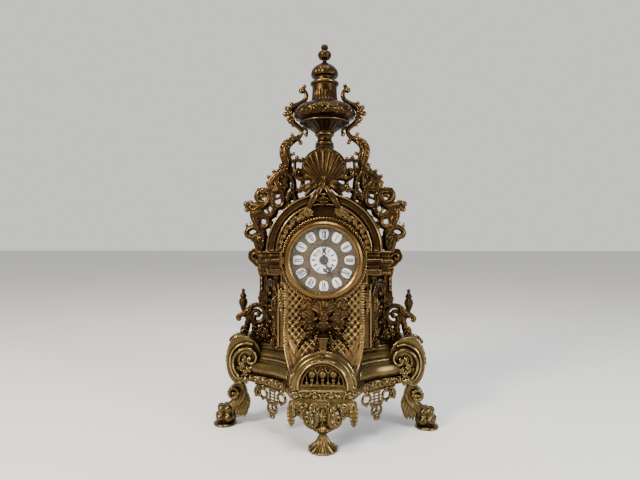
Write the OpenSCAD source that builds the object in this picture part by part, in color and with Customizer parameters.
// Cast brass mantel clock: a serpentine plinth on three feet, a pierced case with an urn on
// top, and an eight-day time-and-strike movement behind a hinged bezel.
// Millimetres. +Z is up, the dial faces -Y, and the origin is on the floor under the middle
// of the clock's bounding box.

/* [Plinth] */
// Height of the underside of the plinth above the floor
plinth_z = 72; // [66:1:78]
// Height of the plinth's top shelf above the floor
shelf_z = 126; // [122:1:130]
// Half width of the front bay at its front
bay_half = 40; // [36:1:42]
// Outer radius of the arch in the front bay
bay_r = 46; // [42:1:48]
// Thickness of the cast walls
wall = 3; // [2.5:0.5:4]

/* [Case] */
// Half width of the trellis panel
waist_half = 57; // [54:1:60]
// Height of the spring line of the arched hood
hood_z = 270; // [266:1:274]
// Outer radius of the arched hood
hood_r = 83; // [80:1:86]
// Depth position of the urn, the crest and the upper frets
crest_y = 10; // [6:1:14]
// Depth position of the back plate's inner face
back_y = 60; // [58:1:62]

/* [Dial] */
// Height of the dial's centre above the floor
dial_z = 257; // [254:1:260]
// Radius of the dial plate
dial_r = 50; // [48:0.5:50]
// Outer radius of the bezel
bezel_r = 58; // [56:0.5:58]
// Sideways distance of each winding square from the dial's centre
wind_x = 25; // [24:0.5:26]
// Drop of the winding squares below the dial's centre
wind_z = 16.4; // [15:0.2:18]

/* [Movement] */
// Teeth on each mainspring barrel
barrel_teeth = 90; // [84:6:96]
// Teeth on the minute wheel's pinion, a quarter of the hour wheel's
motion_pinion = 10; // [10:1:12]
// Pendulum length from suspension to bob
pendulum_l = 120; // [112:1:124]

/* [Hidden] */
$fn = 32;

bronze = [0.42, 0.31, 0.16];
brass = [0.66, 0.52, 0.27];
porcelain = [0.88, 0.87, 0.86];
black_steel = [0.06, 0.06, 0.07];
steel = [0.6, 0.6, 0.62];
glass = [0.85, 0.92, 0.95, 0.3];

floor_gap = 0.3;                      // clearance between parts that move past each other
hinge_x = 61;                         // bezel hinge pin, left of the dial
hinge_y = -30;
pin_r = 1;
door_hinge_x = 50;                    // rear door hinge pin, at +X
door_hinge_y = back_y + 4.2;
back_t = 2;                           // thickness of the back plate
latch_x = 51.5;                       // turn button of the rear door, at -X
front_plate_y = -12;                  // front faces of the movement's two plates
back_plate_y = 16;
plate_t = 2;
seat_y = -24;                         // front of the ring that the bezel closes on
wing_plan = [[57, -28], [76, -10], [102, 5], [113, 13.5], [121, 25], [125.5, 40],
             [127, back_y]];

// ---------- curves and general shapes ----------

function spline(a, b, c, d, t) =
    0.5 * (2 * b + (c - a) * t + (2 * a - 5 * b + 4 * c - d) * t * t
           + (3 * b - a - 3 * c + d) * t * t * t);
function smooth(p, n) = [
    for (i = [0:len(p) - 2]) for (k = [0:n - 1])
        spline(p[max(i - 1, 0)], p[i], p[i + 1], p[min(i + 2, len(p) - 1)], k / n),
    p[len(p) - 1]
];
function arc(x, y, r, a0, a1, n) =
    [for (i = [0:n]) [x + r * cos(a0 + (a1 - a0) * i / n), y + r * sin(a0 + (a1 - a0) * i / n)]];
// Points of a spiral with a width that tapers from w0 to w1.
function spiral(x, y, r0, r1, a0, a1, w0, w1, n) = [
    for (i = [0:n]) let (t = i / n, a = a0 + (a1 - a0) * t, r = r0 + (r1 - r0) * t)
        [x + r * cos(a), y + r * sin(a), w0 + (w1 - w0) * t]
];

// Draws its children once on each side of the clock.
module both() {
    children();
    mirror([1, 0, 0]) children();
}
// Extrudes a front view, drawn in X and Z, from depth y0 to depth y1.
module slab(y0, y1) {
    translate([0, y1, 0]) rotate([90, 0, 0]) linear_extrude(y1 - y0) children();
}
// The same for scroll work: the small offset merges its strokes into one outline.
module cast(y0, y1) {
    slab(y0, y1) offset(delta = 0.05) children();
}
module link(a, b) {
    d = [b[0] - a[0], b[1] - a[1]];
    l = max(norm(d), 0.001);
    n = [-d[1] / l, d[0] / l];
    polygon([
        [a[0] + n[0] * a[2], a[1] + n[1] * a[2]], [b[0] + n[0] * b[2], b[1] + n[1] * b[2]],
        [b[0] - n[0] * b[2], b[1] - n[1] * b[2]], [a[0] - n[0] * a[2], a[1] - n[1] * a[2]]
    ]);
}
// A smooth line through points [x, z, half width], with round ends.
module stroke(p, n = 4) {
    q = smooth(p, n);
    for (i = [0:len(q) - 2]) link(q[i], q[i + 1]);
    for (c = q) translate([c[0], c[1]]) circle(r = c[2], $fn = 16);
}
module knobs(list) {
    for (k = list) translate([k[0], k[1]]) circle(r = k[2], $fn = 20);
}
module turned(profile, n = 3) {
    rotate_extrude() polygon(concat([[0, profile[0][1]]], smooth(profile, n),
                                    [[0, profile[len(profile) - 1][1]]]));
}
// A cylinder along Y, from depth y0 to depth y1.
module rod(x, z, r, y0, y1) {
    translate([x, y1, z]) rotate([90, 0, 0]) cylinder(r = r, h = y1 - y0);
}
module at_dial(x = 0, z = 0) {
    translate([x, 0, dial_z + z]) children();
}

// ---------- gears, drawn in the front view about their own axis ----------

// Each tooth is narrower than its space, so that the train has backlash.
function gear(teeth, m, turn) = let (pitch = 360 / teeth, r = teeth * m / 2) [
    for (i = [0:teeth - 1]) for (c = [[-0.27, -1.2], [-0.19, 0], [-0.08, 0.85],
                                      [0.08, 0.85], [0.19, 0], [0.27, -1.2]])
        let (a = turn + (i + c[0]) * pitch, q = r + c[1] * m) [q * cos(a), q * sin(a)]
];
// Turn of a gear whose spaces meet the teeth of a mate at direction phi from that mate.
function mesh_turn(mate_turn, mate_teeth, teeth, phi) =
    phi + 180 + (phi - mate_turn) * mate_teeth / teeth + 180 / teeth;
// Corner of the triangle on side a-b, at distance ra from a and rb from b, to the left of a-b.
function corner(a, b, ra, rb) = let (
    d = norm(b - a), u = (b - a) / d, s = (ra * ra - rb * rb + d * d) / (2 * d),
    h = sqrt(ra * ra - s * s)) a + u * s + [-u[1], u[0]] * h;

module toothed(teeth, m, turn, y0, y1) {
    slab(y0, y1) polygon(gear(teeth, m, turn));
}
module spoked(teeth, m, turn, y0, y1, hub, rim) {
    difference() {
        toothed(teeth, m, turn, y0, y1);
        for (a = [0:72:288]) slab(y0 - 1, y1 + 1) rotate(a + turn) difference() {
            intersection() {
                circle(r = teeth * m / 2 - rim);
                polygon([[0, 0], [60 * cos(10), 60 * sin(10)], [60 * cos(62), 60 * sin(62)]]);
            }
            circle(r = hub);
        }
    }
}

// Arbor positions in the front view, from the dial's centre.
center = [0, 0];
going = [wind_x, -wind_z];
strike = [-wind_x, -wind_z];
m_barrel = 0.5;
m_second = 0.5;
m_center = 0.36;
m_third = 0.33;
second_leaves = 12;
second_teeth = 64;
center_leaves = 12;
center_teeth = 96;
third_leaves = 8;
third_teeth = 96;
escape_leaves = 8;
escape_teeth = 36;
second = corner(center, going, (second_teeth + center_leaves) * m_second / 2,
                (barrel_teeth + second_leaves) * m_barrel / 2);
third = [-6.4, sqrt(pow((center_teeth + third_leaves) * m_center / 2, 2) - 6.4 * 6.4)];
escape = [0, third[1] + sqrt(pow((third_teeth + escape_leaves) * m_third / 2, 2) - 6.4 * 6.4)];
pallet_z = escape[1] + 16.5;
pivot_z = dial_z + pallet_z;
motion_m = 0.6;
motion_d = motion_m * 24;             // cannon pinion of 12 and minute wheel of 36
hour_m = motion_d * 2 / (5 * motion_pinion);
function direction(a, b) = atan2(b[1] - a[1], b[0] - a[0]);
center_turn = 0;
second_turn = mesh_turn(center_turn, center_leaves, second_teeth, direction(center, second));
barrel_turn = mesh_turn(second_turn, second_leaves, barrel_teeth, direction(second, going));
third_turn = mesh_turn(center_turn, center_teeth, third_leaves, direction(center, third));
escape_turn = mesh_turn(third_turn, third_teeth, escape_leaves, direction(third, escape));
motion_turn = mesh_turn(center_turn, 12, 36, -90);
hour_turn = mesh_turn(motion_turn, motion_pinion, 4 * motion_pinion, 90);

// ---------- plinth ----------

wing = smooth(wing_plan, 3);
// Plan line of the rope border round the front.
rope_half = concat([[bay_half, -70]], [for (p = wing) if (p[1] < 30) p]);
rope_plan = concat([for (i = [len(rope_half) - 1:-1:0]) [-rope_half[i][0], rope_half[i][1]]],
                   rope_half);
// Wall section: distance outwards from the plan line, and height. It goes up the outside and
// comes down the inside.
plinth_wall = [
    [-4, plinth_z], [-4, 80], [-1, 82], [0, 85], [2.2, 89], [2.6, 93], [1, 98], [-3, 102.5],
    [-7.5, 105], [-6, 106], [-5.6, 108], [-7, 109.5], [-10, 110], [-12, 114], [-16, 118],
    [-21, 120.5], [-21, 123], [-23, shelf_z], [-31, shelf_z], [-31, shelf_z - wall],
    [-25, 119], [-20, 116.5], [-15, 112], [-12, 107], [-8, 103], [-4, 99], [-2, 93],
    [-4, 86], [-7, 80], [-7, plinth_z]
];
rope_section = [for (p = arc(-0.4, 77, 3.6, 0, 324, 9)) p];
function unit(v) = v / norm(v);
// Outward direction at a corner of the plan, lengthened so that walls keep their thickness.
function outward(a, b, c) = let (
    d = unit(b - a), e = unit(c - b), m = unit([d[1] + e[1], -d[0] - e[0]]))
    m / max(0.5, m * [d[1], -d[0]]);
function side_of(a, b) = [unit(b - a)[1], -unit(b - a)[0]];
// Carries a section along an open plan line, closed at both ends, from a start direction.
module sweep(plan, section, start) {
    k = len(section);
    n = len(plan);
    points = [for (i = [0:n - 1]) let (o = i == 0 ? start :
                  i == n - 1 ? side_of(plan[n - 2], plan[n - 1]) :
                  outward(plan[i - 1], plan[i], plan[i + 1]))
        for (s = section) [plan[i][0] + o[0] * s[0], plan[i][1] + o[1] * s[0], s[1]]];
    polyhedron(points = points, faces = concat(
        [for (i = [0:n - 2]) for (j = [0:k - 1]) each
            let (a = i * k + j, b = i * k + (j + 1) % k,
                 c = (i + 1) * k + (j + 1) % k, d = (i + 1) * k + j)
                [[a, c, d], [a, b, c]]],
        [[for (j = [k - 1:-1:0]) j]],
        [[for (j = [0:k - 1]) (n - 1) * k + j]]));
}
// Each wing is cut off flush with the side of the bay.
module plinth_shell() {
    color(brass) both() resize([0, 0, 0]) intersection() {
        sweep(wing, plinth_wall, side_of(wing[0], wing[1]));
        translate([waist_half, -60, 60]) cube([90, 130, 80]);
    }
}
module rope_border() {
    color(brass) sweep(rope_plan, rope_section, side_of(rope_plan[0], rope_plan[1]));
}
module bay_plan(inset) {
    polygon([[-bay_half + inset, -68 + inset], [bay_half - inset, -68 + inset],
             [waist_half - inset, -28 + inset], [waist_half - inset, -6],
             [-waist_half + inset, -6], [-waist_half + inset, -28 + inset]]);
}
module bay_arch() {
    arch_z = 87;
    color(brass) difference() {
        union() {
            translate([0, 0, 81]) linear_extrude(4) bay_plan(0);
            translate([0, 0, 85]) linear_extrude(shelf_z - 85) bay_plan(2.5);
            rod(0, arch_z, bay_r, -66, -30);
            translate([0, 0, arch_z]) rotate([90, 0, 0]) rotate_extrude()
                polygon([[bay_r, 60], [bay_r, 62], [bay_r - 2, 64], [bay_r - 6, 68.5],
                         [31, 71], [29.5, 72.5], [28, 71], [27, 69], [27, 60]]);
        }
        rod(0, arch_z, 27, -80, -20);
        translate([0, 0, 50]) linear_extrude(shelf_z - 50 - 6) bay_plan(6);
        translate([-60, -80, 20]) cube([120, 80, 61]);
    }
}
module bay_grille() {
    arch_z = 87;
    color(bronze) {
        cast(-66, -63) {
            difference() {
                circle(r = 27.1);
                circle(r = 24.5);
                translate([-40, -60]) square([80, 60]);
            }
            translate([-24, 0]) square([48, 4]);
            for (x = [-14, 0, 14]) {
                translate([x - 1.2, 3]) square([2.4, 8]);
                translate([x, 12]) circle(r = 5);
            }
            for (x = [-7, 7]) stroke([[x - 5, 4, 0.8], [x, 13, 1], [x + 4, 20, 0.8]]);
            for (x = [-7, 7]) stroke([[x + 5, 4, 0.8], [x, 13, 1], [x - 4, 20, 0.8]]);
            translate([-12, 20]) square([24, 2]);
            translate([-1, 20]) square([2, 5]);
        }
        for (x = [-14, 0, 14]) translate([x, -65.5, 12]) sphere(r = 4);
    }
}
module placed_grille() {
    translate([0, 0, 87]) bay_grille();
}

// ---------- feet, aprons and corner volutes ----------

module front_foot() {
    color(brass) translate([0, -60, 0]) {
        turned([[18, 0], [18, 3], [15, 8], [9.5, 15], [6.8, 22], [6.5, 25], [9, 28],
                [13, 30], [13.5, 33], [10, 36]]);
        turned([[7, 35.5], [6, 40], [6, 81]]);
    }
}
module paw_foot() {
    color(brass) translate([0, 28, 0]) {
        translate([154, 0, 0]) cylinder(r = 17.5, h = 3);
        translate([154, 0, 3]) cylinder(r = 16, h = 2);
        difference() {
            union() {
                for (t = [[163, -9, 10, 6.5], [166, 0, 10, 6.5], [155, -11, 10, 6.5],
                          [147, -9, 9, 6]])
                    translate([t[0], t[1], t[2]]) sphere(r = t[3]);
                translate([152, 0, 14]) sphere(r = 11);
                cast(-8, 8) {
                    stroke([[150, 14, 10], [138, 22, 9], [129, 34, 7], [126, 47, 6.5],
                            [124, 60, 7], [120, 70, 8]]);
                    stroke([[126, 52, 3.5], [132, 60, 3], [139, 57, 5.5]]);
                }
            }
            translate([100, -30, -30]) cube([80, 60, 34.9]);
            translate([100, -30, plinth_z]) cube([60, 60, 20]);
        }
    }
}
module apron_center() {
    color(bronze) both() {
        cast(-72, -67.5) {
            translate([-1, 68]) square([40, 5.6]);
            stroke([[10, 67, 2], [15, 60, 2.5], [22, 58, 2.5], [26, 64, 2]]);
            stroke([[12, 62, 2], [14, 52, 2.2], [20, 46, 2.6], [24, 50, 2]]);
            stroke([[8, 44, 2.5], [16, 44, 2.5], [24, 49, 2.2], [29, 58, 2.2], [30, 67, 2]]);
            stroke([[37, 68, 3], [38, 58, 4.5], [38, 50, 3], [38, 44, 2.5], [38, 40, 1.5]]);
        }
        cast(-72, -66.8) polygon([[0, 72], [9, 72], [8, 58], [6.5, 46], [7, 38], [0, 36]]);
    }
}
// Drawn along the wing in its own straight plane, 62 mm long.
module apron_side() {
    dir = [118 - 60, 14 + 28];
    color(bronze) translate([62, -25, 0]) rotate([0, 0, atan2(dir[1], dir[0])]) {
        translate([0, 4, 68]) cube([62, 9, 4]);
        side_scrolls();
    }
}
module side_scrolls() {
    cast(4, 8) {
        translate([0, 66]) square([62, 5]);
        stroke([[2, 66, 2.5], [7, 55, 2.5], [14, 52, 2.5], [20, 56, 2.2], [21, 66, 2]]);
        stroke([[44, 66, 2], [44, 56, 2.2], [50, 51, 2.5], [57, 55, 2.5], [62, 66, 2.5]]);
        stroke([[14, 52, 2], [23, 47, 2.4], [32, 52, 2.6], [41, 47, 2.4], [50, 51, 2]]);
        stroke([[32, 67, 4], [32, 58, 3], [32, 50, 3]]);
        difference() {
            translate([32, 40]) circle(r = 9);
            translate([32, 40]) circle(r = 4.5);
        }
        stroke([[32, 31, 2.6], [32, 24, 1.8]]);
    }
}
// Centre line of the big C-scroll at each corner of the plinth, in the front view.
volute_line = concat(
    [[123, 68, 4.5], [133, 72, 6], [141, 80, 7], [145, 92, 7.5], [142, 105, 7], [133, 115, 6],
     [121, 120.5, 5]],
    spiral(115, 108, 11, 5, 75, 350, 4, 2.5, 8));
module volute() {
    color(brass) {
        cast(12, 56) stroke([for (i = [0:6]) volute_line[i]]);
        cast(4, 12) stroke(volute_line);
    }
}

// ---------- waist, sides and brackets ----------

module waist_panel() {
    flare_y = -68;
    flare_z = 175;
    color(brass) {
        slab(-18, -15) polygon([[-waist_half, flare_z - 1], [waist_half, flare_z - 1],
                                [waist_half, 222], [-waist_half, 222]]);
        difference() {
            intersection() {
                translate([-70, flare_y, flare_z]) rotate([90, 0, 90]) linear_extrude(140)
                    difference() {
                        circle(r = 53);
                        circle(r = 50);
                        translate([-60, 0]) square([120, 60]);
                        translate([-60, -60]) square([60, 120]);
                    }
                translate([0, 0, shelf_z]) linear_extrude(60)
                    polygon([[-bay_half - 1, -70], [bay_half + 1, -70], [waist_half, -26],
                             [waist_half, -10], [-waist_half, -10], [-waist_half, -26]]);
            }
            rod(0, 87, bay_r + floor_gap, -80, -20);
        }
        both() {
            translate([waist_half - wall, -15, 127]) cube([wall, 17, 92]);
            translate([waist_half, -1, shelf_z]) cube([12, wall, 96]);
        }
    }
}
module mask_mount() {
    color(bronze) {
        cast(-33, -29) {
            polygon(concat(arc(0, 186, 10, 0, 180, 10), [[-8, 170], [-4, 158], [0, 146],
                                                        [4, 158], [8, 170]]));
            both() {
                stroke([[9, 190, 2], [15, 194, 2.5], [19, 189, 2.5], [16, 183, 2]]);
                stroke([[8, 176, 2.5], [18, 172, 3], [26, 164, 3], [32, 153, 2.5]]);
                stroke([[6, 168, 2.5], [13, 162, 2.5], [18, 153, 2.5], [22, 147, 2]]);
            }
        }
        translate([0, -34, 181]) sphere(r = 8.5);
        rod(0, 184, 4, -29.5, -18);
    }
}
module colonnette() {
    translate([72, 14, 0]) {
        translate([0, 0, shelf_z - 4]) cylinder(r = 4.5, h = 9);
        translate([0, 0, shelf_z + 5]) cylinder(r = 2.8, h = 100);
        translate([0, 0, 231]) cylinder(r = 4.5, h = 5);
    }
}
// Openwork side between the front colonnette and the rear pilaster.
module side_fret() {
    color(bronze) {
        colonnette();
        translate([75, 16, 0]) rotate([0, 0, 57]) cast(-2, 2) {
            translate([0, shelf_z]) square([35, 4]);
            translate([0, 231]) square([35, 4.8]);
            translate([0, shelf_z]) square([3, 109]);
            translate([32, shelf_z]) square([3, 109]);
            stroke([[6, 128, 2], [24, 138, 2.5], [27, 152, 2.5], [16, 164, 2.5],
                    [7, 176, 2.5], [12, 190, 2.5], [24, 198, 2.5], [27, 212, 2.5],
                    [18, 222, 2.5], [8, 232, 2]]);
            for (z = [150, 200]) {
                stroke([[3, z, 2], [10, z - 4, 2.5], [16, z + 6, 2], [13, z + 13, 2]]);
                stroke([[32, z + 26, 2], [23, z + 30, 2.5], [18, z + 22, 2]]);
            }
        }
    }
}
module pilaster() {
    color(bronze) {
        translate([93, 46, shelf_z]) cube([4, back_y - 46, 235.8 - shelf_z]);
        translate([96.5, 46, 204]) cube([9, 10, 31.8]);
        for (s = [[181, 5, 2.5], [186, 5, 1.5], [191, 6, 2.5], [197, 7, 1], [230, 5.8, 2]])
            translate([96.5 - s[2], 46 - s[2], s[0]])
                cube([9 + 2 * s[2], 10 + s[2], s[1]]);
    }
}
module bracket() {
    color(bronze) cast(44, 50) {
        stroke([[101, 177, 5], [112, 170, 4], [119, 158, 3.5], [120, 144, 3.5],
                [126, 130, 4], [137, 122, 4], [140, 118, 3]]);
        stroke([[112, 170, 3.5], [122, 165, 4], [131, 162, 4], [138, 157, 3.5],
                [137, 153, 3]]);
        stroke([[101, 176, 4], [94, 168, 3.5], [92, 156, 3], [98, 148, 3], [104, 152, 2.5]]);
        stroke([[104, 152, 3], [108, 160, 2.5], [106, 166, 2.5]]);
        stroke([[120, 142, 3], [110, 140, 3], [102, 134, 3], [92, 131, 3], [82, 130, 3]]);
        stroke([[108, 139, 2.5], [100, 146, 2.5], [92, 142, 2.5], [84, 131, 3]]);
        stroke([[82, 129, 3], [100, 129, 3], [116, 129, 3], [134, 124, 3]]);
    }
}
module side_finials() {
    color(bronze) both() translate([131, 47, 165.6])
        turned([[5, 0], [5.2, 1.5], [3, 3], [3.2, 9], [5.5, 16], [6.8, 22], [6.4, 26],
                [4.4, 28.5], [5.5, 31.5], [4.4, 35], [2.6, 37.5], [3, 40], [2, 42.5],
                [0.4, 43.4]]);
}
module entablature() {
    color(bronze) difference() {
        entablature_solid();
        translate([80, -4, 241]) cube([13, 80, 25]);
    }
}
module entablature_solid() {
    union() {
        for (s = [[235.8, 5, -24, 0], [240.8, 3, -25, 1], [243.8, 12, -21, -1],
                  [255.8, 5, -25, 1], [260.8, 4, -27, 2], [264.8, hood_z - 264.8, -28, 3]])
            translate([63, s[2], s[0]]) cube([16 + s[3], 20 - s[2], s[1]]);
        for (s = [[235.8, 7.2, -10, 0], [243, 10, -8, -1], [253, 5, -11, 1],
                  [258, 6, -13, 2], [264, hood_z - 264, -14, 3]]) {
            translate([76, s[2], s[0]]) cube([20 + s[3], back_y - s[2], s[1]]);
            translate([90, 40 - s[3], s[0]]) cube([18 + s[3], back_y - 42, s[1]]);
        }
        cast(18, 24) stroke([[98, 247, 5], [106, 252, 7], [109, 258, 8], [104, 266, 6],
                             [98, 270, 4]]);
    }
}

// ---------- arched hood, frets, crest and urn ----------

module arch_hood() {
    ring = [[hood_r - 17, -18], [hood_r - 17, -26], [hood_r - 14, -28], [hood_r - 12, -25],
            [hood_r - 8, -20], [hood_r - 4, -25], [hood_r - 3, -30], [hood_r - 1, -31],
            [hood_r, -29], [hood_r, 58], [hood_r - 3, 58], [hood_r - 3, -12],
            [hood_r - 17, -12]];
    color(bronze) difference() {
        union() {
            translate([0, 0, hood_z]) rotate([90, 0, 0]) rotate_extrude()
                polygon([for (p = ring) [p[0], -p[1]]]);
            slab(-18, -12) union() {
                translate([0, hood_z]) circle(r = hood_r - 15);
                translate([-63, 222]) square([126, 50]);
            }
        }
        translate([-100, -40, hood_z - 100]) cube([37, 110, 100]);
        translate([63, -40, hood_z - 100]) cube([37, 110, 100]);
        translate([-100, -12, hood_z - 100]) cube([200, 90, 100]);
        translate([-64, -40, hood_z - 100]) cube([128, 22, 100]);
        rod(0, dial_z, 48, -40, 0);
        translate([-80, -40, 140]) cube([160, 60, 82]);
    }
}
module dial_garlands() {
    color(brass) both() translate([0, 0, hood_z]) cast(-26, -18)
        stroke([for (t = [0:5]) let (a = 68 - t * 11.5, r = 58 + 0.85 * t)
            [r * cos(a), r * sin(a), 3.4 - 0.2 * t]]);
}
// Outer scrolls and the urn handle, then the inner scrolls, leaves and bosses.
module crest_fret() {
    color(bronze) cast(crest_y - 5, crest_y + 3) {
        stroke([for (p = arc(0, hood_z, hood_r + 2.5, 3, 70, 8)) [p[0], p[1], 2.6]], 3);
        stroke([[66, 338, 3], [61, 334, 3]]);
        stroke([[94, 304, 4], [84, 300, 3], [80, 303, 3]]);
        stroke([[50, 352, 4], [45, 346, 3], [42, 345, 3]]);
        stroke([[30, 519, 3.5], [34, 511, 3], [27, 501, 3], [31, 494, 3], [40, 489, 3.5],
                [48, 483, 4], [53, 473, 4], [50, 462, 3.5], [42, 454, 3], [36, 446, 3],
                [38, 438, 3], [48, 432, 4], [56, 424, 4.5], [59, 410, 5], [56, 396, 5]]);
        stroke([[36, 446, 2.5], [31, 441, 3], [29, 446, 2]]);
        stroke([[44, 434, 2.5], [36, 428, 2.5], [33, 433, 3]]);
        stroke([[56, 410, 5], [58, 396, 6], [64, 384, 6], [72, 372, 6], [80, 360, 5],
                [84, 348, 5], [92, 336, 5], [98, 322, 5], [100, 306, 5], [98, 292, 5],
                [95, 280, 4.5], [96, 272, 4]]);
        stroke([[56, 398, 4], [46, 392, 3.5], [40, 384, 3], [40, 372, 3], [48, 362, 4],
                [60, 356, 4], [72, 350, 4]]);
        stroke([[60, 384, 4], [54, 374, 3.5], [58, 364, 3], [66, 358, 3]]);
        stroke([[44, 376, 3], [34, 368, 3], [30, 360, 3]]);
        stroke([[50, 362, 3], [50, 352, 4], [58, 346, 4], [66, 338, 3], [74, 330, 3]]);
        stroke([[80, 356, 4], [90, 362, 3.5], [98, 356, 4], [100, 346, 4], [92, 338, 3.5]]);
        stroke([[74, 346, 4], [84, 338, 3.5], [84, 326, 3.5], [92, 318, 3]]);
        stroke([[82, 326, 3], [86, 312, 3], [94, 304, 4]]);
        stroke([[98, 328, 4], [108, 334, 4], [116, 338, 5], [120, 334, 4]]);
        stroke([[98, 300, 4], [108, 304, 3.5], [116, 310, 2.5], [119, 320, 1.2]]);
        stroke([[96, 286, 4], [106, 288, 3.5], [114, 294, 4], [118, 304, 3.5]]);
        stroke([[70, 376, 3], [78, 386, 3]], 2);
        stroke([[74, 370, 3], [84, 379, 2.5]], 2);
        stroke([[78, 362, 3], [86, 370, 3]], 2);
        stroke([[58, 404, 3], [50, 412, 2.5], [44, 404, 2.5]], 3);
        knobs([[66, 397, 5], [78, 386, 4], [83, 379, 4], [86, 370, 4.5], [121, 341, 5.5],
               [116, 330, 4.5], [108, 282, 4.5], [44, 404, 3.5], [50, 412, 3]]);
    }
}
module shell_crest() {
    ribs = 11;
    color(brass) {
        cast(-18, -8) {
            for (i = [0:ribs - 1]) let (a = 90 + (i - 5) * 17, r = 43 - abs(i - 5) * 2.6)
                stroke([[0, 368, 2], [r * 0.5 * cos(a), 368 + r * 0.5 * sin(a), 3.4],
                        [r * cos(a), 368 + r * sin(a), 5]], 2);
            both() stroke([[2, 366, 3], [14, 362, 4], [26, 364, 5], [36, 360, 4],
                           [35, 354, 3], [29, 355, 3]]);
            polygon([[-12, 370], [12, 370], [14, 356], [10, 354], [-10, 354], [-14, 356]]);
        }
        slab(-37, -31.1) polygon([[-7, 362], [7, 362], [15, 354], [11, 342], [0, 332],
                                  [-11, 342], [-15, 354]]);
        slab(-34, -17) polygon([[-8, 362], [8, 362], [8, hood_z + hood_r + 0.1],
                                [-8, hood_z + hood_r + 0.1]]);
        difference() {
            slab(-8, crest_y + 6) polygon([[-9, 345], [9, 345], [7, 380], [7, 425],
                                           [-7, 425], [-7, 380]]);
            rod(0, hood_z, hood_r, -40, 40);
        }
        translate([0, crest_y, 424]) cylinder(r = 14, h = 6);
    }
}
module urn_body() {
    color(bronze) translate([0, crest_y, 0]) difference() {
        turned([[14, 430], [13, 432], [11, 437], [11.5, 441], [14.4, 443], [14.4, 446],
                [18, 450], [28, 456], [34, 459], [36, 461.5], [34.4, 464], [42, 467.5],
                [45.7, 475], [43, 482], [35.6, 487.5], [24, 490.5], [20.5, 495], [19, 502],
                [18.8, 512], [19, 518], [21.2, 520], [21.2, 522.5]], 2);
        turned([[28, 462], [35, 466], [41.5, 475], [38, 482], [26, 487], [17, 491],
                [14, 500], [13, 512], [12.5, 523]], 2);
    }
}
module urn_lid() {
    color(bronze) translate([0, crest_y, 0])
        turned([[14.3, 522.5], [14.3, 530], [19, 531.5], [20, 535], [18.5, 541], [13, 547],
                [7, 551], [3.2, 554.5], [3.6, 556.5], [8.5, 560], [10.3, 564], [8.5, 568],
                [4.2, 570.5], [5.5, 574.8], [4.2, 578.8], [0.5, 580.4]], 3);
}

// ---------- back ----------

// Closes the case and the plinth from behind.
module back_plate() {
    color(bronze) {
        difference() {
            slab(back_y, back_y + back_t) union() {
                translate([0, hood_z]) circle(r = hood_r - 1);
                translate([-98, 100]) square([196, hood_z - 100]);
                polygon([[-120, plinth_z + 1], [120, plinth_z + 1], [124, 90], [110, 112],
                         [-110, 112], [-124, 90]]);
            }
            rod(0, dial_z, 46, back_y - 5, back_y + 10);
            rod(-latch_x, dial_z, 1.56, back_y - 5, back_y + 10);
        }
        for (z = [-12, 12]) translate([door_hinge_x, door_hinge_y, dial_z + z - 3])
            difference() {
                union() {
                    cylinder(r = 2.2, h = 6);
                    translate([-1, back_y - door_hinge_y + 1, 0]) cube([3, 3, 6]);
                }
                translate([0, 0, -1]) cylinder(r = 1.05, h = 8);
            }
    }
}
module rear_door() {
    door_y = back_y + back_t + floor_gap;
    color(brass) {
        difference() {
            union() {
                rod(0, dial_z, 47, door_y, door_y + 1.5);
                rod(0, dial_z, 44, door_y, door_y + 12);
                translate([42, door_y, dial_z - 8]) cube([8, 1.5, 16]);
                translate([door_hinge_x, door_hinge_y, dial_z - 8.7])
                    cylinder(r = 2.2, h = 17.4);
            }
            rod(0, dial_z, 42, door_y - 1, door_y + 10.5);
            translate([door_hinge_x, door_hinge_y, dial_z - 20]) cylinder(r = 1, h = 40);
            for (a = [0:30:330])
                translate([0, 0, dial_z]) rod(20 * cos(a), 20 * sin(a), 3, 50, 90);
            rod(0, dial_z, 5, 50, 90);
        }
        translate([door_hinge_x, door_hinge_y, dial_z - 15]) cylinder(r = 1, h = 30);
        rod(-38, dial_z, 3, door_y + 11.5, door_y + 15);
    }
}
// A turn button on the case: turned a quarter, its arm lies over the door's rim.
module door_latch() {
    arm_y = back_y + back_t + 2.2;
    color(brass) {
        rod(-latch_x, dial_z, 1.5, back_y - 1.5, arm_y + 1.4);
        rod(-latch_x, dial_z, 2.6, back_y - 1.6, back_y - 0.3);
        slab(arm_y, arm_y + 1.4) difference() {
            union() {
                translate([-latch_x, dial_z]) circle(r = 3);
                translate([-latch_x - 1.6, dial_z]) square([3.2, 6.5]);
            }
        }
        rod(-latch_x, dial_z, 2, arm_y + 1.3, arm_y + 4);
    }
}

// ---------- bezel and dial ----------

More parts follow.
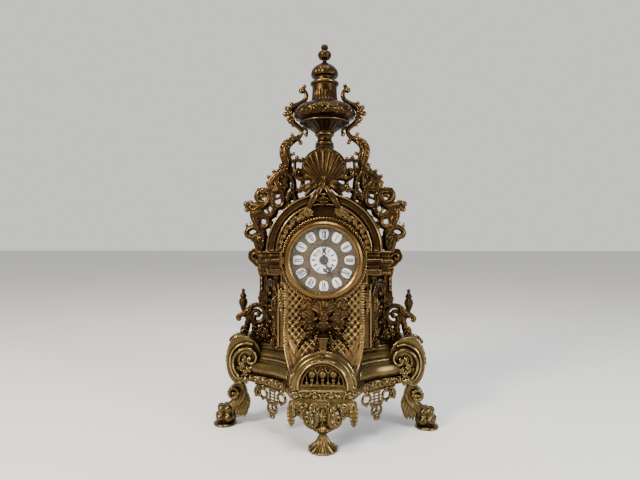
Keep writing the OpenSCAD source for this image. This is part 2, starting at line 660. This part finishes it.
module bezel_seat() {
    color(brass) at_dial() {
        rotate([90, 0, 0]) rotate_extrude()
            polygon([[dial_r + 0.3, 18], [62.5, 18], [62.5, 21], [61, 23], [59, 24],
                     [dial_r + 0.3, 24]]);
        for (z = [-10.2, 5.2]) hinge_lug(z, 5);
    }
}
module hinge_lug(z, h) {
    difference() {
        union() {
            translate([-hinge_x, hinge_y, z]) cylinder(r = 2.3, h = h);
            translate([-hinge_x - 1, hinge_y, z]) cube([2, seat_y - hinge_y + 2, h]);
        }
        translate([-hinge_x, hinge_y, z - 1]) cylinder(r = pin_r, h = h + 2);
    }
}
module bezel_hinge_pin() {
    color(brass) at_dial() translate([-hinge_x, hinge_y, -11.5]) {
        cylinder(r = pin_r, h = 23);
        translate([0, 0, 22.5]) sphere(r = 1.6);
    }
}
module bezel_ring() {
    color(brass) at_dial() {
        difference() {
            union() {
                rotate([90, 0, 0]) rotate_extrude()
                    polygon([[46.5, 25.3], [bezel_r, 24.3], [bezel_r, 28], [57, 31],
                             [55, 34], [52.5, 35.6], [50, 35.8], [48, 34.8], [46.5, 32]]);
                translate([-hinge_x, hinge_y, -4.9]) cylinder(r = 2.3, h = 9.8);
                translate([-hinge_x, hinge_y - 2, -4.9]) cube([5, 4, 9.8]);
            }
            translate([-hinge_x, hinge_y, -8]) cylinder(r = pin_r + 0.05, h = 16);
            rotate([90, 0, 0]) translate([0, 0, 20]) cylinder(r = 48, h = 12.3);
        }
        translate([57, -28, -4]) cube([4.5, 2, 8]);
    }
}
module bezel_glass() {
    color(glass) rod(0, dial_z, 48, -32.3, -31);
}
module dial_plate() {
    color(brass) difference() {
        rod(0, dial_z, dial_r, -22, -18);
        rod(0, dial_z, dial_r - 1.6, -20.5, -17);
        rod(0, dial_z, 4.2, -30, -10);
        both() rod(wind_x, dial_z - wind_z, 4.3, -30, -10);
    }
}
module dial_cartouches() {
    color(porcelain) for (i = [0:11]) translate([0, 0, dial_z]) rotate([0, i * 30, 0])
        difference() {
            slab(-24, -22) polygon(concat(arc(0, 38.6, 7, 20, 160, 8),
                                          [[-5.9, 35], [-4, 31.2], [4, 31.2], [5.9, 35]]));
            rotate([0, -i * 30, 0]) both() rod(wind_x, -wind_z, 4.3, -30, -10);
        }
}
module dial_center_ring() {
    color(porcelain) difference() {
        rod(0, dial_z, 19.3, -23.4, -22);
        rod(0, dial_z, 6, -30, -10);
    }
}
module hour_hand() {
    color(black_steel) at_dial() difference() {
        union() {
            cast(-26, -25.2) rotate(-155) {
                circle(r = 6.6, $fn = 32);
                stroke([[0, 5, 1.4], [0, 14, 1], [0, 17, 2], [0, 20, 1], [0, 26, 0.5]], 3);
                both() stroke([[0.5, 15, 1], [4, 17, 1.3], [4.5, 20, 1], [1, 22, 0.8]], 3);
            }
            rod(0, 0, 3.4, -26, -17.9);
        }
        rod(0, 0, 2.2, -40, -10);
    }
}
module minute_hand() {
    color(black_steel) at_dial() {
        difference() {
            union() {
                cast(-28, -27.2) rotate(-3) {
                    circle(r = 4.6, $fn = 32);
                    stroke([[0, 4, 1.2], [0, 11, 0.9], [0, 15, 1.6], [0, 19, 0.9],
                            [0, 28, 0.7], [0, 40, 0.4]], 3);
                    both() stroke([[0.5, 12, 0.8], [2.8, 14.5, 1], [3, 17, 0.8],
                                   [0.8, 19, 0.7]], 3);
                }
                rod(0, 0, 3, -29.2, -27);
            }
            rod(0, 0, 1.6, -40, -10);
        }
    }
}

// ---------- movement ----------

module plate_outline() {
    difference() {
        translate([-42, -44]) square([84, 100]);
        for (x = [-42, 42]) translate([x, 56]) circle(r = 14);
    }
}
pillar_places = [[38, -40], [-38, -40], [25, 44], [-25, 44]];
module pivot_holes(y0, y1) {
    for (p = [second, third, escape, [0, pallet_z], [-30, -40]]) rod(p[0], p[1], 0.95, y0, y1);
    both() rod(going[0], going[1], 2.55, y0, y1);
    rod(0, 0, 1.25, y0, y1);
}
module movement_plate(y0) {
    color(brass) at_dial() difference() {
        slab(y0, y0 + plate_t) plate_outline();
        pivot_holes(y0 - 1, y0 + plate_t + 1);
        for (p = pillar_places) rod(p[0], p[1], 1, y0 - 1, y0 + plate_t + 1);
    }
}
module movement_front_plate() {
    movement_plate(front_plate_y);
    color(steel) at_dial() rod(0, -motion_d, 1, -19.4, front_plate_y + 0.5);
}
// The cock on the back plate holds the pendulum's pivot pin.
module movement_back_plate() {
    movement_plate(back_plate_y);
    color(brass) at_dial(0, pallet_z) {
        translate([-7, 18, 3.5]) cube([14, 11.5, 2.5]);
        translate([-3.5, 27.2, -3]) cube([7, 2.3, 8]);
        rod(0, 0, 0.9, 23.6, 28);
    }
    color(brass) at_dial(12, -10) rod(0, 0, 3, 17.5, 34.2);
}
module plate_pillars() {
    color(brass) at_dial() for (p = pillar_places)
        difference() {
            rod(p[0], p[1], 2.6, front_plate_y + plate_t, back_plate_y);
            rod(p[0], p[1], 1, front_plate_y, back_plate_y + 1);
        }
}
// Slips on the center arbor when the hands are set, and carries the minute hand.
module cannon_pinion() {
    color(steel) at_dial() difference() {
        union() {
            rod(0, 0, 1.6, -29.2, -26.9);
            rod(0, 0, 2.1, -27, -13.5);
            toothed(12, motion_m, center_turn, -15.6, -13.8);
        }
        rod(0, 0, 1.25, -40, -10);
    }
}
module center_wheel() {
    color(brass) at_dial() {
        rod(0, 0, 1.2, -29.6, back_plate_y + 3);
        toothed(center_leaves, m_second, center_turn, 10, 13.2);
        spoked(center_teeth, m_center, center_turn, 13.4, 14.4, 4, 2.6);
        rod(0, 0, 1.9, -9.5, 10.1);
    }
}
module minute_wheel() {
    color(brass) at_dial(0, -motion_d) difference() {
        union() {
            toothed(36, motion_m, motion_turn, -15.4, -14);
            toothed(motion_pinion, hour_m, motion_turn, -19.2, -15.3);
        }
        rod(0, 0, 1.05, -30, 0);
    }
}
module hour_wheel() {
    color(brass) at_dial() difference() {
        union() {
            toothed(4 * motion_pinion, hour_m, hour_turn, -17.8, -16.4);
            rod(0, 0, 3.2, -17.9, -16);
        }
        rod(0, 0, 2.2, -30, 0);
    }
}
module barrel(turn) {
    difference() {
        union() {
            toothed(barrel_teeth, m_barrel, turn, -8.6, -6.6);
            rod(0, 0, 19.5, -6.7, 9);
        }
        rod(0, 0, 2.55, -20, 20);
        rod(0, 0, 17.5, -5.6, 7.8);
    }
}
module winding_arbor(turn) {
    rod(0, 0, 2.5, -14.8, 17.5);
    rod(0, 0, 6, -5.3, 7.5);
    translate([0, -14.5, 0]) rotate([90, turn, 0]) translate([-1.7, -1.7, 0])
        cube([3.4, 3.4, 12]);
    slab(-14.6, -12.8) polygon([for (i = [0:19]) each
        [[8 * cos(i * 18), 8 * sin(i * 18)], [6.6 * cos(i * 18 + 2), 6.6 * sin(i * 18 + 2)]]]);
}
module going_barrel() {
    color(brass) at_dial(going[0], going[1]) barrel(barrel_turn);
}
module strike_barrel() {
    color(brass) at_dial(strike[0], strike[1]) barrel(1.5);
}
module going_winding_arbor() {
    color(steel) at_dial(going[0], going[1]) winding_arbor(20);
}
module strike_winding_arbor() {
    color(steel) at_dial(strike[0], strike[1]) winding_arbor(60);
}
module second_wheel() {
    color(brass) at_dial(second[0], second[1]) {
        rod(0, 0, 0.9, -11.8, 17.8);
        toothed(second_leaves, m_barrel, second_turn, -9, -5);
        spoked(second_teeth, m_second, second_turn, 11, 12.2, 4, 2.6);
    }
}
module third_wheel() {
    color(brass) at_dial(third[0], third[1]) {
        rod(0, 0, 0.9, -11.8, 17.8);
        toothed(third_leaves, m_center, third_turn, 12.4, 15.4);
        spoked(third_teeth, m_third, third_turn, 0, 1.2, 3.5, 2.4);
    }
}
module escape_wheel() {
    color(brass) at_dial(escape[0], escape[1]) {
        rod(0, 0, 0.9, -11.8, 17.8);
        toothed(escape_leaves, m_third, escape_turn, -1.2, 2.4);
        slab(5, 6.2) difference() {
            polygon([for (i = [0:escape_teeth - 1]) each let (a = i * 360 / escape_teeth)
                [[12 * cos(a), 12 * sin(a)], [10.4 * cos(a + 2), 10.4 * sin(a + 2)]]]);
            for (a = [0:90:270]) rotate(a) translate([5.6, 0]) circle(r = 2.6, $fn = 24);
        }
    }
}
module anchor() {
    color(steel) at_dial(0, pallet_z) {
        rod(0, 0, 0.9, -11.8, 22.8);
        cast(5, 6.2) {
            circle(r = 3);
            both() stroke([[0, 0, 1.6], [6, -2.4, 1.4], [9.2, -5, 1.1], [9.6, -6.6, 0.7]], 2);
        }
        cast(19.5, 20.5) stroke([[0, 0, 2.4], [0, -10, 1.2], [0, -26, 1.2]], 2);
        rod(0, -25, 0.8, 20.4, 25.8);
    }
}
module pendulum() {
    color(brass) at_dial(0, pallet_z) {
        difference() {
            union() {
                rod(0, 0, 2.4, 23.8, 26.6);
                cast(24, 25.2) stroke([[0, 0, 2], [0, -18, 0.9], [0, -22, 2.4], [0, -28, 2.4],
                                       [0, -34, 0.9], [0, -pendulum_l, 0.9]], 2);
            }
            rod(0, 0, 0.95, 20, 30);
            rod(0, -25, 1, 20, 30);
        }
        rod(0, -pendulum_l, 14, 22.6, 26.6);
    }
}
// The bell is held on its stud by a nut.
module bell() {
    color(brass) at_dial(12, -10) {
        rotate([90, 0, 0]) rotate_extrude()
            polygon([[0, -55], [10, -54.6], [19, -51.5], [25, -45], [27, -38], [28, -34],
                     [26.6, -34], [25.4, -38.5], [23.6, -44], [18, -50], [9.6, -53],
                     [3, -53.3], [3, -34.2], [0, -34.2]]);
        rod(0, 0, 3.4, 54.9, 57);
    }
}
module hammer() {
    color(steel) at_dial(-30, -40) {
        rod(0, 0, 0.9, -11.8, 38);
        rod(0, 0, 2.4, 18.4, 20);
        cast(35, 37) stroke([[0, 0, 2], [1, 12, 1], [8, 29, 1]], 3);
        rod(8.4, 30, 4.4, 33.5, 41.5);
    }
}
module case_screws() {
    color(steel) {
        at_dial() for (p = pillar_places) {
            rod(p[0], p[1], 0.95, 11, 18);
            rod(p[0], p[1], 2, 18, 19.4);
        }
        both() for (z = [134, 225])
            rod(95, z, 2.4, back_y + back_t, back_y + back_t + 1.4);
    }
}

plinth_shell();
rope_border();
bay_arch();
placed_grille();  // bay_grille
apron_center();
both() apron_side();  // side_aprons
mirror([1, 0, 0]) volute();  // volute_left
volute();  // volute_right
front_foot();
mirror([1, 0, 0]) paw_foot();  // paw_foot_left
paw_foot();  // paw_foot_right
waist_panel();
mask_mount();
mirror([1, 0, 0]) side_fret();  // side_fret_left
side_fret();  // side_fret_right
mirror([1, 0, 0]) pilaster();  // pilaster_left
pilaster();  // pilaster_right
mirror([1, 0, 0]) bracket();  // bracket_left
bracket();  // bracket_right
side_finials();
mirror([1, 0, 0]) entablature();  // entablature_left
entablature();  // entablature_right
arch_hood();
dial_garlands();
mirror([1, 0, 0]) crest_fret();  // crest_fret_left
crest_fret();  // crest_fret_right
shell_crest();
urn_body();
urn_lid();
back_plate();
bezel_seat();
dial_plate();
dial_cartouches();
dial_center_ring();
movement_front_plate();
movement_back_plate();
plate_pillars();
bell();
case_screws();
bezel_hinge_pin();
bezel_ring();
bezel_glass();
minute_hand();
cannon_pinion();
center_wheel();
hour_hand();
hour_wheel();
minute_wheel();
going_barrel();
going_winding_arbor();
strike_barrel();
strike_winding_arbor();
second_wheel();
third_wheel();
escape_wheel();
anchor();
pendulum();
hammer();
rear_door();
door_latch();
